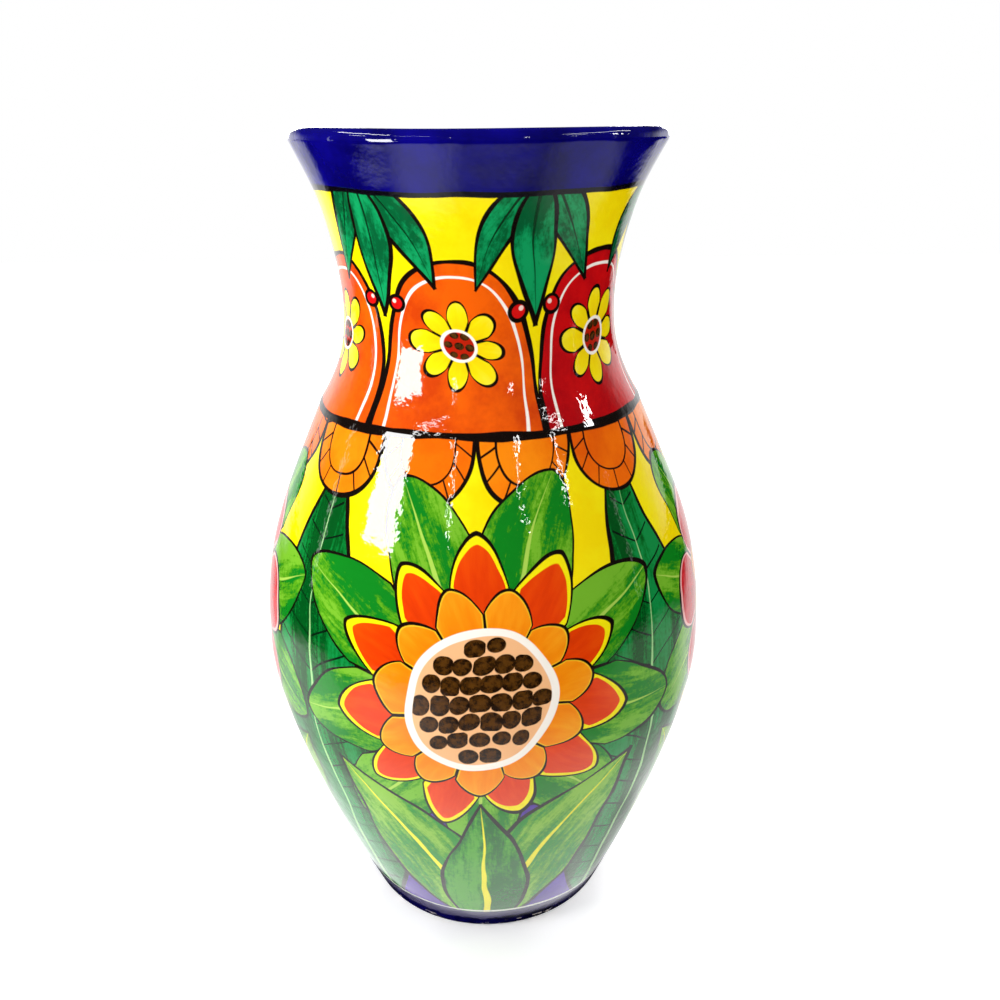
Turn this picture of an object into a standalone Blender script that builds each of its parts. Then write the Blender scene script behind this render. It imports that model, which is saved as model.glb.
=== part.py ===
# Painted earthenware vase, built as a potter luted it together: a slab base, two belly
# sections that meet at the widest point, a flaring neck and a rolled rim, with a clay coil
# pressed over each seam inside. Metres, +Z up, origin in the middle of the standing face.

import math

import bmesh
import bpy

# Heights of the sections, stacked up from the table
LOWER_BELLY_HEIGHT = 0.1350   # table to the widest point
SHOULDER_HEIGHT = 0.1135      # widest point to the ridge under the neck
RIDGE_TO_THROAT = 0.0410      # ridge to the narrowest point of the neck
THROAT_TO_RIM = 0.0585        # narrowest point to the seat of the rim coil
RIM_HEIGHT = 0.0120           # rim coil

# Outer radii
FOOT_RADIUS = 0.0594
WAIST_RADIUS = 0.1016
RIDGE_RADIUS = 0.0702
THROAT_RADIUS = 0.0580
RIM_RADIUS = 0.0765

# Lean of the outer wall, as radius gained for each unit of height
FOOT_LEAN = 0.45
SHOULDER_LEAN = -0.43
COLLAR_LEAN = -0.58
RIM_LEAN = 0.53

# How far each end of a wall curve keeps its direction, as a share of the curve's height
FOOT_REACH = 0.24
WAIST_REACH_BELOW = 0.24
WAIST_REACH_ABOVE = 0.43
RIDGE_REACH_BELOW = 0.45
RIDGE_REACH_ABOVE = 0.34
THROAT_REACH_BELOW = 0.46
THROAT_REACH_ABOVE = 0.31
RIM_REACH = 0.24

# Clay thicknesses
WALL = 0.0075                 # measured level, from outside to inside
FLOOR_THICKNESS = 0.0100
RIM_ROUND = 0.0042            # radius of the rolled lip

# Underside
STANDING_RING_WIDTH = 0.0140
RECESS_DEPTH = 0.0015
FOOT_EDGE = 0.0015            # worn bevel at the outer edge of the foot

# Luted seams: a tongue on the upper piece sits in a groove of the lower one
SLIP_GAP = 0.0004
TONGUE_DEPTH = 0.0020
SEAM_COIL_REACH = 0.0080      # how far a seam coil laps above and below its seam
SEAM_COIL_THICKNESS = 0.0030
BASE_COIL_SIZE = 0.0100
BASE_COIL_HOLLOW = 0.0012

# Fineness of the solids
SEGMENTS = 48
BELLY_ROWS = 5
NECK_ROWS = 8
RIM_ARC_STEPS = 7
COIL_STEPS = 6
CURVE_SEARCH_STEPS = 40
SHARP_ANGLE = math.radians(40)

# Levels of the seams
WAIST_LEVEL = LOWER_BELLY_HEIGHT
RIDGE_LEVEL = WAIST_LEVEL + SHOULDER_HEIGHT
THROAT_LEVEL = RIDGE_LEVEL + RIDGE_TO_THROAT
RIM_LEVEL = THROAT_LEVEL + THROAT_TO_RIM
TOP_LEVEL = RIM_LEVEL + RIM_HEIGHT

# Colour and roughness of each finish
FINISHES = {
    "cobalt_paint": ((0.012, 0.008, 0.180, 1.0), 0.15),
    "orange_paint": ((0.750, 0.110, 0.008, 1.0), 0.15),
    "yellow_paint": ((0.860, 0.620, 0.010, 1.0), 0.15),
    "green_paint": ((0.030, 0.180, 0.030, 1.0), 0.15),
    "bare_clay": ((0.420, 0.170, 0.085, 1.0), 0.85),
}


def clear_scene():
    for old in list(bpy.data.objects):
        bpy.data.objects.remove(old, do_unlink=True)


def make_finish(name):
    colour, roughness = FINISHES[name]
    finish = bpy.data.materials.new(name)
    finish.use_nodes = True
    shader = finish.node_tree.nodes["Principled BSDF"]
    shader.inputs["Base Color"].default_value = colour
    shader.inputs["Roughness"].default_value = roughness
    shader.inputs["Metallic"].default_value = 0.0
    return finish


def rim_arc_centre():
    return RIM_RADIUS - RIM_ROUND, TOP_LEVEL - RIM_ROUND


def rim_seat_radius():
    # The neck runs straight into the side of the lip roll
    lean = math.atan(RIM_LEAN)
    radius, level = rim_arc_centre()
    side_radius = radius + RIM_ROUND * math.cos(lean)
    side_level = level - RIM_ROUND * math.sin(lean)
    return side_radius - (side_level - RIM_LEVEL) * RIM_LEAN


def wall_curve(low, low_lean, low_reach, high, high_lean, high_reach):
    # A cubic curve between two (radius, level) points, leaving each along its lean
    height = high[1] - low[1]
    low_arm = low_reach * height
    high_arm = high_reach * height
    after_low = (low[0] + low_lean * low_arm, low[1] + low_arm)
    before_high = (high[0] - high_lean * high_arm, high[1] - high_arm)
    return low, after_low, before_high, high


def wall_curves():
    foot = (FOOT_RADIUS, 0.0)
    waist = (WAIST_RADIUS, WAIST_LEVEL)
    ridge = (RIDGE_RADIUS, RIDGE_LEVEL)
    throat = (THROAT_RADIUS, THROAT_LEVEL)
    rim = (rim_seat_radius(), RIM_LEVEL)
    return (
        wall_curve(foot, FOOT_LEAN, FOOT_REACH, waist, 0.0, WAIST_REACH_BELOW),
        wall_curve(waist, 0.0, WAIST_REACH_ABOVE, ridge, SHOULDER_LEAN, RIDGE_REACH_BELOW),
        wall_curve(ridge, COLLAR_LEAN, RIDGE_REACH_ABOVE, throat, 0.0, THROAT_REACH_BELOW),
        wall_curve(throat, 0.0, THROAT_REACH_ABOVE, rim, RIM_LEAN, RIM_REACH),
    )


def on_curve(curve, share, axis):
    rest = 1.0 - share
    return (rest ** 3 * curve[0][axis] + 3 * rest ** 2 * share * curve[1][axis]
            + 3 * rest * share ** 2 * curve[2][axis] + share ** 3 * curve[3][axis])


def outer_radius(level):
    curves = wall_curves()
    curve = next((c for c in curves if level <= c[3][1]), curves[-1])
    low_share = 0.0
    high_share = 1.0
    for _ in range(CURVE_SEARCH_STEPS):
        share = (low_share + high_share) / 2
        if on_curve(curve, share, 1) < level:
            low_share = share
        else:
            high_share = share
    return on_curve(curve, (low_share + high_share) / 2, 0)


def inner_radius(level):
    return outer_radius(level) - WALL


def tongue_and_groove(level, offset):
    # The three corners of a seam face, from outside to inside
    edge = level + offset
    outside = (outer_radius(level), edge)
    middle = (outer_radius(level) - WALL / 2, edge - TONGUE_DEPTH)
    inside = (inner_radius(level), edge)
    return [outside, middle, inside]


def section_levels(low, low_lap, high, high_lap, rows):
    # Inner rows of a section; the first and last lie level with the ends of its seam coils
    first = low + low_lap
    last = high - high_lap
    return [first + (last - first) * row / rows for row in range(rows + 1)]


def wall_section(low, low_lap, high, high_lap, rows):
    levels = section_levels(low, low_lap, high, high_lap, rows)
    outside = [(outer_radius(level), level) for level in levels]
    inside = [(inner_radius(level), level) for level in levels]
    top = tongue_and_groove(high, -SLIP_GAP / 2)
    bottom = tongue_and_groove(low, SLIP_GAP / 2)
    return top[:1] + outside[::-1] + bottom + inside + top[:0:-1]


def turn_piece(name, outline, seat, finish, stand, closed=True):
    # Spins an outline of (radius, level) points once round the axis
    mesh = bpy.data.meshes.new(name)
    shape = bmesh.new()
    points = [shape.verts.new((radius, 0.0, level - seat)) for radius, level in outline]
    edges = [shape.edges.new(pair) for pair in zip(points, points[1:])]
    if closed:
        edges.append(shape.edges.new((points[-1], points[0])))
    bmesh.ops.spin(shape, geom=points + edges, cent=(0, 0, 0), axis=(0, 0, 1),
                   steps=SEGMENTS, angle=math.tau)
    bmesh.ops.remove_doubles(shape, verts=shape.verts, dist=SLIP_GAP / 10)
    bmesh.ops.recalc_face_normals(shape, faces=shape.faces)
    shape.to_mesh(mesh)
    shape.free()
    mesh.shade_smooth()
    mesh.set_sharp_from_angle(angle=SHARP_ANGLE)
    mesh.materials.append(finish)
    piece = bpy.data.objects.new(name, mesh)
    piece.location.z = seat
    piece.parent = stand
    bpy.context.collection.objects.link(piece)
    return piece


def base_slab_outline():
    groove = tongue_and_groove(FLOOR_THICKNESS, -SLIP_GAP / 2)
    ring_inside = FOOT_RADIUS - STANDING_RING_WIDTH
    outside = [(outer_radius(FOOT_EDGE), FOOT_EDGE), (FOOT_RADIUS - FOOT_EDGE, 0.0)]
    underside = [(ring_inside, 0.0), (ring_inside - RECESS_DEPTH, RECESS_DEPTH), (0.0, RECESS_DEPTH)]
    return [(0.0, groove[2][1])] + groove[::-1] + outside + underside


def rim_outline():
    lean = math.atan(RIM_LEAN)
    radius, level = rim_arc_centre()
    seat = tongue_and_groove(RIM_LEVEL, SLIP_GAP / 2)
    roll = []
    for step in range(RIM_ARC_STEPS + 1):
        angle = math.pi * (1.0 - step / RIM_ARC_STEPS) - lean
        roll.append((radius + RIM_ROUND * math.cos(angle), level + RIM_ROUND * math.sin(angle)))
    return roll + seat


def seam_coil_outline(seam):
    # The back follows the wall inside; the front swells and thins out to both ends
    levels = [seam - SEAM_COIL_REACH, seam, seam + SEAM_COIL_REACH]
    back = [(inner_radius(level) - SLIP_GAP, level) for level in levels]
    front = []
    for step in range(1, COIL_STEPS):
        share = 2 * step / COIL_STEPS - 1
        end = back[2] if share > 0 else back[0]
        line = back[1][0] + (end[0] - back[1][0]) * abs(share)
        swell = SEAM_COIL_THICKNESS * math.cos(share * math.pi / 2)
        front.append((line - swell, seam + share * SEAM_COIL_REACH))
    return back[::-1] + front


def base_coil_outline():
    # A fillet in the corner of floor and wall, its face pressed hollow by the thumb
    floor = FLOOR_THICKNESS + SLIP_GAP / 2
    top = FLOOR_THICKNESS + BASE_COIL_SIZE
    corner = inner_radius(FLOOR_THICKNESS) - SLIP_GAP
    wall_top = inner_radius(top) - SLIP_GAP
    toe = corner - BASE_COIL_SIZE
    face = []
    for step in range(1, COIL_STEPS):
        share = step / COIL_STEPS
        hollow = BASE_COIL_HOLLOW * math.sin(math.pi * share)
        radius = toe + (wall_top - toe) * share + hollow
        level = floor + (top - floor) * share - hollow
        face.append((radius, level))
    return [(wall_top, top), (corner, floor), (toe, floor)] + face


def build():
    clear_scene()
    stand = bpy.data.objects.new("vase", None)
    bpy.context.collection.objects.link(stand)
    finishes = {name: make_finish(name) for name in FINISHES}
    clay = finishes["bare_clay"]

    turn_piece("base_slab", base_slab_outline(), 0.0, clay, stand, closed=False)
    turn_piece("base_seam_coil", base_coil_outline(), FLOOR_THICKNESS, clay, stand)

    lower = wall_section(FLOOR_THICKNESS, BASE_COIL_SIZE, WAIST_LEVEL, SEAM_COIL_REACH, BELLY_ROWS)
    turn_piece("lower_belly", lower, FLOOR_THICKNESS, finishes["green_paint"], stand)
    turn_piece("waist_seam_coil", seam_coil_outline(WAIST_LEVEL), WAIST_LEVEL, clay, stand)

    upper = wall_section(WAIST_LEVEL, SEAM_COIL_REACH, RIDGE_LEVEL, SEAM_COIL_REACH, BELLY_ROWS)
    turn_piece("upper_belly", upper, WAIST_LEVEL, finishes["yellow_paint"], stand)
    turn_piece("neck_seam_coil", seam_coil_outline(RIDGE_LEVEL), RIDGE_LEVEL, clay, stand)

    neck_end = (RIM_LEVEL - RIDGE_LEVEL) / NECK_ROWS
    neck = wall_section(RIDGE_LEVEL, SEAM_COIL_REACH, RIM_LEVEL, neck_end, NECK_ROWS)
    turn_piece("neck", neck, RIDGE_LEVEL, finishes["orange_paint"], stand)
    turn_piece("rim_coil", rim_outline(), RIM_LEVEL, finishes["cobalt_paint"], stand)


build()
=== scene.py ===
import math
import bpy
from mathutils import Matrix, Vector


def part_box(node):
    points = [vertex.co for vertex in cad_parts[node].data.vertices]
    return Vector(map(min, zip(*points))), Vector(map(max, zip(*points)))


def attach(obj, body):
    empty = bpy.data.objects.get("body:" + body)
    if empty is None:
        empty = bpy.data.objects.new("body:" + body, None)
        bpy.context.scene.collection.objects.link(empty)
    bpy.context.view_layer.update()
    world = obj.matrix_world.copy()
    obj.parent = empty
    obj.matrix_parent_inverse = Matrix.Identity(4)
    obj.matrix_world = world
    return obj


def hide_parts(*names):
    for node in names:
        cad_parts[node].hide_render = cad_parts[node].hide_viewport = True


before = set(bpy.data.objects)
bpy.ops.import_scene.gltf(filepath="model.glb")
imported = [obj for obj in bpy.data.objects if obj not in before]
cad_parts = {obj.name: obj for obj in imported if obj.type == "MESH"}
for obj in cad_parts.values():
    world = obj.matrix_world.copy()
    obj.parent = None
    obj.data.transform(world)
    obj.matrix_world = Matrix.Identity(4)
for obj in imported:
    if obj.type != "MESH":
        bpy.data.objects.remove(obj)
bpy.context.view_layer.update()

from types import SimpleNamespace

import bpy
from mathutils import Matrix, Vector, noise

bpy.context.scene.view_settings.view_transform = "Standard"
print("frame loaded,", len(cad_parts), "clay pieces")


# Reading the clay walls off the frame

def wallRows(nodeName):
    # every level of a turned wall with its outer and inner radius; a tongue's lone ring is skipped
    rings = {}
    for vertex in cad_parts[nodeName].data.vertices:
        radius = math.hypot(vertex.co.x, vertex.co.y)
        rings.setdefault(round(vertex.co.z, 5), []).append(radius)
    sameRing = 0.001
    return [(level, max(radii), min(radii)) for level, radii in sorted(rings.items())
            if max(radii) - min(radii) > sameRing]


def smoothCurve(rows, side):
    # a smooth curve of one side's radius over the level
    levels = [row[0] for row in rows]
    radii = [row[side] for row in rows]
    rises = [(radii[i + 1] - radii[i]) / (levels[i + 1] - levels[i]) for i in range(len(rows) - 1)]
    leans = [rises[0]]
    for i in range(1, len(rises)):
        before = levels[i] - levels[i - 1]
        after = levels[i + 1] - levels[i]
        leans.append((rises[i - 1] * after + rises[i] * before) / (before + after))
    leans.append(rises[-1])
    leans[0] += (rises[0] - leans[1]) * 0.5
    leans[-1] += (rises[-1] - leans[-2]) * 0.5

    def radiusAt(level):
        i = 0
        while i < len(rises) - 1 and level > levels[i + 1]:
            i += 1
        span = levels[i + 1] - levels[i]
        t = (level - levels[i]) / span
        return (radii[i] * (1 + 2 * t) * (1 - t) ** 2 + radii[i + 1] * t * t * (3 - 2 * t)
                + span * (leans[i] * t * (1 - t) ** 2 - leans[i + 1] * t * t * (1 - t)))

    return radiusAt


baseRows = wallRows("base_slab")
lowerRows = wallRows("lower_belly")
upperRows = wallRows("upper_belly")
neckRows = wallRows("neck")
floorLevel = (baseRows[-1][0] + lowerRows[0][0]) / 2
waistLevel = (lowerRows[-1][0] + upperRows[0][0]) / 2
ridgeLevel = (upperRows[-1][0] + neckRows[0][0]) / 2
rimLevel = (neckRows[-1][0] + wallRows("rim_coil")[0][0]) / 2
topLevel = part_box("rim_coil")[1].z
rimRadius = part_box("rim_coil")[1].x

outerSide = 1
innerSide = 2
bellyRows = lowerRows + upperRows[1:]
bellyOuter = smoothCurve(baseRows[1:-1] + bellyRows, outerSide)
bellyInner = smoothCurve(bellyRows, innerSide)
neckOuter = smoothCurve(neckRows, outerSide)
neckInner = smoothCurve(neckRows, innerSide)
print("walls read: waist", round(waistLevel, 4), "ridge", round(ridgeLevel, 4), "rim", round(rimLevel, 4))


# Turning the pieces, slightly uneven as a hand-made pot is

handmade = {
    "anglesRound": 192,
    "rowHeight": 0.0021,
    "insideRows": 1.4,  # rows inside are this much taller
    "seamRow": 0.00012,  # thin rows beside a seam keep the gloss unbroken there
    "sharpFrom": 50,  # edges stay sharp from this many degrees on
    "outOfRound": 0.00045,
    "lobes": [(2, 9, 0.7, 1.0), (3, -14, 0.0, 0.6)],  # lobes round, twist per metre, start and share
    "girth": 0.09,  # a usual radius, so that lumps come out as wide as high
    "lumpSize": 0.050,
    "lumpDepth": 0.00035,
    "smallLumps": 2.3,  # a second set is this much smaller
    "smallShare": 0.45,
    "smallShift": (5.1, 2.2, 8.4),
    "evenFoot": 0.012,  # the foot is even up to here
    "evenRim": 0.55,  # and the rim by this share
    "ridgeSway": 0.0008,
    "swayWaves": [(2, 2.1, 1.0), (5, 0.0, 0.5)],  # waves round, start and share
    "rimSway": 0.2,  # share of the sway that is left at the rim
    "fullTurn": -90,  # one shoulder is a little fuller, in degrees from the front
    "fullFocus": 4,  # the higher, the narrower
    "fullLevel": 0.225,
    "fullSpread": 0.075,
    "fullDepth": 0.0019,
    "throwPitch": 0.0085,  # spiral left by the potter's fingers inside
    "throwDepth": 0.00045,
    "thumbMarks": 23,  # presses round a seam coil
    "thumbDepth": 0.0006,
    "thumbStray": 1.3,  # how far they stray from even steps, in so many spells round
    "thumbSpells": 3,
}


def strayOutside(angle, level):
    look = handmade
    lobes = sum(share * math.sin(count * angle + twist * level + start)
                for count, twist, start, share in look["lobes"])
    spot = Vector((math.sin(angle), -math.cos(angle), level / look["girth"]))
    spot = spot * (look["girth"] / look["lumpSize"])
    smallSpot = spot * look["smallLumps"] + Vector(look["smallShift"])
    lumps = noise.noise(spot) + look["smallShare"] * noise.noise(smallSpot)
    settle = min(1.0, level / look["evenFoot"])
    if level > rimLean["start"]:
        settle = 1 - look["evenRim"] * (level - rimLean["start"]) / (topLevel - rimLean["start"])
    facing = max(0.0, math.cos(angle - math.radians(look["fullTurn"])))
    full = facing ** look["fullFocus"] * math.exp(-((level - look["fullLevel"]) / look["fullSpread"]) ** 2)
    return settle * (look["outOfRound"] * lobes + look["lumpDepth"] * lumps) + look["fullDepth"] * full


def strayInside(angle, level):
    turns = level / handmade["throwPitch"]
    groove = math.cos(math.tau * turns - angle)
    return handmade["throwDepth"] * groove + strayOutside(angle, level)


def strayPressed(angle, level):
    stray = handmade["thumbStray"] * math.sin(handmade["thumbSpells"] * angle)
    press = math.cos(handmade["thumbMarks"] * angle + stray)
    return handmade["thumbDepth"] * press + strayOutside(angle, level)


def strayRolled(angle, level):
    spot = Vector((math.sin(angle), -math.cos(angle), 0.0)) * (rimRadius / rimRoll["pinchSize"])
    spot.z = level / rimRoll["pinchSize"] * rimRoll["pinchFlat"]
    share = min(1.0, max(0.0, level - rimLevel) / rimRoll["pinchFrom"]) ** 2
    return rimRoll["pinchDepth"] * share * noise.noise(spot) + strayOutside(angle, level)


def strayNone(angle, level):
    return 0.0


strayOf = {
    "outside": strayOutside,
    "topSeam": strayOutside,
    "inside": strayInside,
    "lowSeam": strayInside,
    "pressed": strayPressed,
    "rolled": strayRolled,
    "flat": strayNone,
}


rimLean = {
    "start": 0.305,  # above this the neck leans, so the rim isn't quite level or centred
    "shift": 0.0010,
    "roll": 0.0001,
    "tip": 0.0007,
    "warp": 0.0007,  # the sides are drawn up a little against front and back
}


def leanOver(angle, level):
    share = max(0.0, (level - rimLean["start"]) / (topLevel - rimLean["start"])) ** 2
    rise = rimLean["tip"] * math.cos(angle) - rimLean["roll"] * math.sin(angle)
    rise -= rimLean["warp"] * math.cos(2 * angle)
    return rimLean["shift"] * share, rise * share


def swayUp(angle, level):
    # the ridge isn't quite level; the foot and the rim nearly are
    share = min(1.0, max(0.0, (level - floorLevel) / (ridgeLevel - floorLevel)))
    if level > ridgeLevel:
        share = 1 - (1 - handmade["rimSway"]) * (level - ridgeLevel) / (topLevel - ridgeLevel)
    waves = sum(part * math.sin(count * angle + start) for count, start, part in handmade["swayWaves"])
    return share * handmade["ridgeSway"] * waves


def steps(low, high, size):
    count = max(2, round((high - low) / size))
    edge = handmade["seamRow"]
    inner = [low + (high - low) * i / count for i in range(1, count)]
    return [low, low + edge] + inner + [high - edge, high]


def addObject(name, data):
    added = bpy.data.objects.new(name, data)
    bpy.context.scene.collection.objects.link(added)
    return added


def turnPiece(name, outline, materials, slots, mapped=True):
    # outline: (radius, level, zone) points round the cross-section, outer side going up first
    count = handmade["anglesRound"]
    rings = []
    points = []
    for radius, level, zone in outline:
        if radius == 0.0:
            rings.append([len(points)] * count)
            points.append((0.0, 0.0, level))
            continue
        ring = []
        for j in range(count):
            angle = math.tau * j / count
            reach = radius + strayOf[zone](angle, level)
            shift, rise = leanOver(angle, level)
            height = level + swayUp(angle, level) + rise
            ring.append(len(points))
            points.append((reach * math.sin(angle) + shift, -reach * math.cos(angle), height))
        rings.append(ring)
    closed = outline[0][0] > 0.0
    spans = len(outline) if closed else len(outline) - 1
    faces = []
    faceZones = []
    faceSpots = []
    for i in range(spans):
        lower, upper = rings[i], rings[(i + 1) % len(outline)]
        for j in range(count):
            k = (j + 1) % count
            corners = [lower[j], lower[k], upper[k], upper[j]]
            spots = [(i, j), (i, j + 1), (i + 1, j + 1), (i + 1, j)]
            keep = [n for n in range(4) if corners[n] not in corners[:n]]
            faces.append([corners[n] for n in keep])
            faceSpots.append([spots[n] for n in keep])
            faceZones.append(outline[i][2])
    mesh = bpy.data.meshes.new(name)
    mesh.from_pydata(points, [], faces)
    for material in materials:
        mesh.materials.append(material)
    for polygon, zone in zip(mesh.polygons, faceZones):
        polygon.material_index = slots[zone]
    if mapped:
        layTexture(mesh, outline, faceZones, faceSpots)
    mesh.shade_smooth()
    mesh.set_sharp_from_angle(angle=math.radians(handmade["sharpFrom"]))
    return addObject(name, mesh)


def layTexture(mesh, outline, faceZones, faceSpots):
    # unrolls the wall: the outside in two long strips, the seams and the inside in narrower ones
    strips = {"outside": (0.004, 0.392), "rolled": (0.004, 0.392), "inside": (0.804, 0.142),
              "topSeam": (0.954, 0.017), "lowSeam": (0.979, 0.017)}
    backStrip = 0.400
    margin = 0.004
    count = handmade["anglesRound"]
    half = count // 2
    travel = {}
    reach = {}
    for i, (radius, level, zone) in enumerate(outline):
        nextRadius, nextLevel, _ = outline[(i + 1) % len(outline)]
        start = reach.get(zone, 0.0)
        reach[zone] = start + math.hypot(nextRadius - radius, nextLevel - level)
        travel[i] = (start, reach[zone])
    layer = mesh.uv_layers.new(name="OFBake")
    for polygon, zone, spots in zip(mesh.polygons, faceZones, faceSpots):
        row, column = spots[0]
        low, height = strips[zone]
        if zone in ("outside", "rolled"):
            behind = column >= half
            wide = half
            low += backStrip if behind else 0.0
            first = half if behind else 0
        else:
            wide = count
            first = 0
        for loop, (i, j) in zip(polygon.loop_indices, spots):
            along = travel[row][1 if i > row else 0] / reach[zone]
            across = (j - first) / wide
            layer.data[loop].uv = (margin + (1 - 2 * margin) * across, low + height * along)


def wallOutline(low, high, outer, inner):
    outside = [(outer(level), level, "outside") for level in steps(low, high, handmade["rowHeight"])]
    insideRow = handmade["insideRows"] * handmade["rowHeight"]
    inside = [(inner(level), level, "inside") for level in steps(low, high, insideRow)]
    outside[-1] = (outside[-1][0], outside[-1][1], "topSeam")
    inside[0] = (inside[0][0], inside[0][1], "lowSeam")
    return outside + inside[::-1]


rimRoll = {
    "wide": 0.0038,
    "high": 0.0036,
    "proud": 0.0011,  # how far it stands out
    "flare": 0.0006,  # and the wall with it, over the height below
    "flareHeight": 0.020,
    "crease": -28,  # where the roll leaves the wall, in degrees below its middle
    "rollOver": 152,  # and where it meets the inside
    "rollSteps": 30,
    "pinchSize": 0.011,  # unevenness left by the fingers that formed it
    "pinchFlat": 2,  # they are wider than high by this much
    "pinchDepth": 0.00028,
    "pinchFrom": 0.006,  # growing over this height above the seam
    "wallRows": 6,
}


def neckWall(level):
    share = max(0.0, 1 - (rimLevel - level) / rimRoll["flareHeight"])
    return neckOuter(level) + rimRoll["flare"] * share * share


def rimOutline(look):
    # the wall runs on up to a crease, then the roll turns over to the inside
    middle = Vector((rimRadius + look["proud"] - look["wide"], topLevel - look["high"]))
    roll = []
    for i in range(look["rollSteps"] + 1):
        share = i / look["rollSteps"]
        turn = math.radians(look["crease"] + (look["rollOver"] - look["crease"]) * share)
        spot = middle + Vector((look["wide"] * math.cos(turn), look["high"] * math.sin(turn)))
        roll.append((spot.x, spot.y, "rolled"))
    wall = Vector((neckWall(rimLevel), rimLevel))
    crease = Vector(roll[0][:2])
    below = crease.lerp(wall, handmade["seamRow"] / (crease - wall).length)
    rows = [wall.lerp(below, i / look["wallRows"]) for i in range(look["wallRows"] + 1)]
    outline = [(row.x, row.y, "rolled") for row in rows]
    return outline + roll + [(neckInner(rimLevel), rimLevel, "lowSeam")]


baseLook = {
    "edgeHigh": 0.0034,
    "edgeWide": 0.0027,
    "edgeSteps": 11,
    "edgeProbe": 0.00034,  # the lean of the wall is measured over this height
    "rowHeight": 0.0015,
    "floorRings": (0.75, 0.5, 0.25),
}


def baseOutline(look):
    # recess, standing ring with a soft edge, the foot of the wall, and the floor inside
    ringInside = baseRows[0][2]
    recessLevel, _, recessRadius = baseRows[1]
    foot = bellyOuter(look["edgeHigh"])
    lean = (bellyOuter(look["edgeHigh"] + look["edgeProbe"]) - foot) / look["edgeProbe"]
    corner = foot - lean * look["edgeHigh"]
    outline = [(0.0, recessLevel, "flat"), (recessRadius, recessLevel, "flat"), (ringInside, 0.0, "flat")]
    for i in range(look["edgeSteps"] + 1):
        t = i / look["edgeSteps"]
        edge = (foot - look["edgeWide"]) * (1 - t) ** 2 + 2 * corner * t * (1 - t) + foot * t * t
        outline.append((edge, look["edgeHigh"] * t * t, "outside"))
    for level in steps(look["edgeHigh"], floorLevel, look["rowHeight"])[1:]:
        outline.append((bellyOuter(level), level, "outside"))
    outline[-1] = (bellyOuter(floorLevel), floorLevel, "topSeam")
    inside = bellyInner(floorLevel)
    outline += [(inside * share, floorLevel, "flat") for share in (1.0,) + look["floorRings"]]
    return outline + [(0.0, floorLevel, "flat")]


seamCoils = {
    "reach": 0.008,
    "thickness": 0.003,
    "crown": 0.8,  # the lower, the fuller
    "baseSize": 0.010,
    "baseHollow": 1.7,  # the higher, the more hollow the fillet in the corner
    "sunk": 0.0006,
    "thinnest": 0.0001,
    "rows": 16,
}


def coilOutline(low, high, back, swell):
    # a clay roll pressed into a seam, thinning out to its edges
    shares = [i / seamCoils["rows"] for i in range(seamCoils["rows"] + 1)]
    levels = [low + (high - low) * share for share in shares]
    rear = [(back(level) + seamCoils["sunk"], level, "inside") for level in levels]
    front = [(back(level) - swell(share), level, "pressed") for share, level in zip(shares, levels)
             if swell(share) > seamCoils["thinnest"]]
    return rear + front[::-1]


def seamSwell(share):
    return seamCoils["thickness"] * math.sin(math.pi * share) ** seamCoils["crown"]


def baseSwell(share):
    return seamCoils["baseSize"] * (1 - share) ** seamCoils["baseHollow"]


def seamBack(level):
    return bellyInner(level) if level < ridgeLevel else neckInner(level)


print("turning tools ready")


# Paint: one small class for the wires of a material

class Wire:
    def __init__(self, tree, socket=None):
        self.tree = tree
        self.socket = socket

    def node(self, kind, settings, values, output=0):
        made = self.tree.nodes.new(kind)
        for key, setting in settings.items():
            if key == "stops":
                setStops(made.color_ramp, setting)
            else:
                setattr(made, key, setting)
        for key, value in values.items():
            if isinstance(value, Wire):
                self.tree.links.new(value.socket, made.inputs[key])
            else:
                made.inputs[key].default_value = value
        return Wire(self.tree, made.outputs[output] if made.outputs else None)

    def maths(self, operation, other=0.0, third=0.0, clamp=False):
        settings = {"operation": operation, "use_clamp": clamp}
        return self.node("ShaderNodeMath", settings, {0: self, 1: other, 2: third})

    def flipped(self, operation, other):
        return self.node("ShaderNodeMath", {"operation": operation}, {0: other, 1: self})

    def parts(self):
        split = self.node("ShaderNodeSeparateXYZ", {}, {0: self}).socket.node
        return [Wire(self.tree, output) for output in split.outputs]

    def __add__(self, other):
        return self.maths("ADD", other)

    def __radd__(self, other):
        return self.flipped("ADD", other)

    def __sub__(self, other):
        return self.maths("SUBTRACT", other)

    def __rsub__(self, other):
        return self.flipped("SUBTRACT", other)

    def __mul__(self, other):
        return self.maths("MULTIPLY", other)

    def __rmul__(self, other):
        return self.flipped("MULTIPLY", other)

    def __truediv__(self, other):
        return self.maths("DIVIDE", other)

    def __rtruediv__(self, other):
        return self.flipped("DIVIDE", other)

    def __pow__(self, other):
        return self.maths("POWER", other)

    def __neg__(self):
        return self.maths("MULTIPLY", -1.0)

    def __abs__(self):
        return self.maths("ABSOLUTE")


def setStops(ramp, stops):
    while len(ramp.elements) > len(stops):
        ramp.elements.remove(ramp.elements[-1])
    while len(ramp.elements) < len(stops):
        ramp.elements.new(1.0)
    for element, (position, code) in zip(ramp.elements, stops):
        element.position = position
        element.color = tone(code)


def tone(code):
    # a paint's colour from its hex code
    channels = [int(code[i:i + 2], 16) / 255 for i in (1, 3, 5)]
    linear = [c / 12.92 if c <= 0.04045 else ((c + 0.055) / 1.055) ** 2.4 for c in channels]
    return (*linear, 1.0)


def paintOver(mask, under, colour):
    return mask.node("ShaderNodeMix", {"data_type": "RGBA"}, {0: mask, 6: under, 7: colour}, 2)


def within(distance, soft=0.35):
    # 1 inside a shape, 0 outside, from the distance inside its edge in millimetres
    return distance.maths("MULTIPLY_ADD", 1.0 / soft, 0.5, clamp=True)


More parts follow.
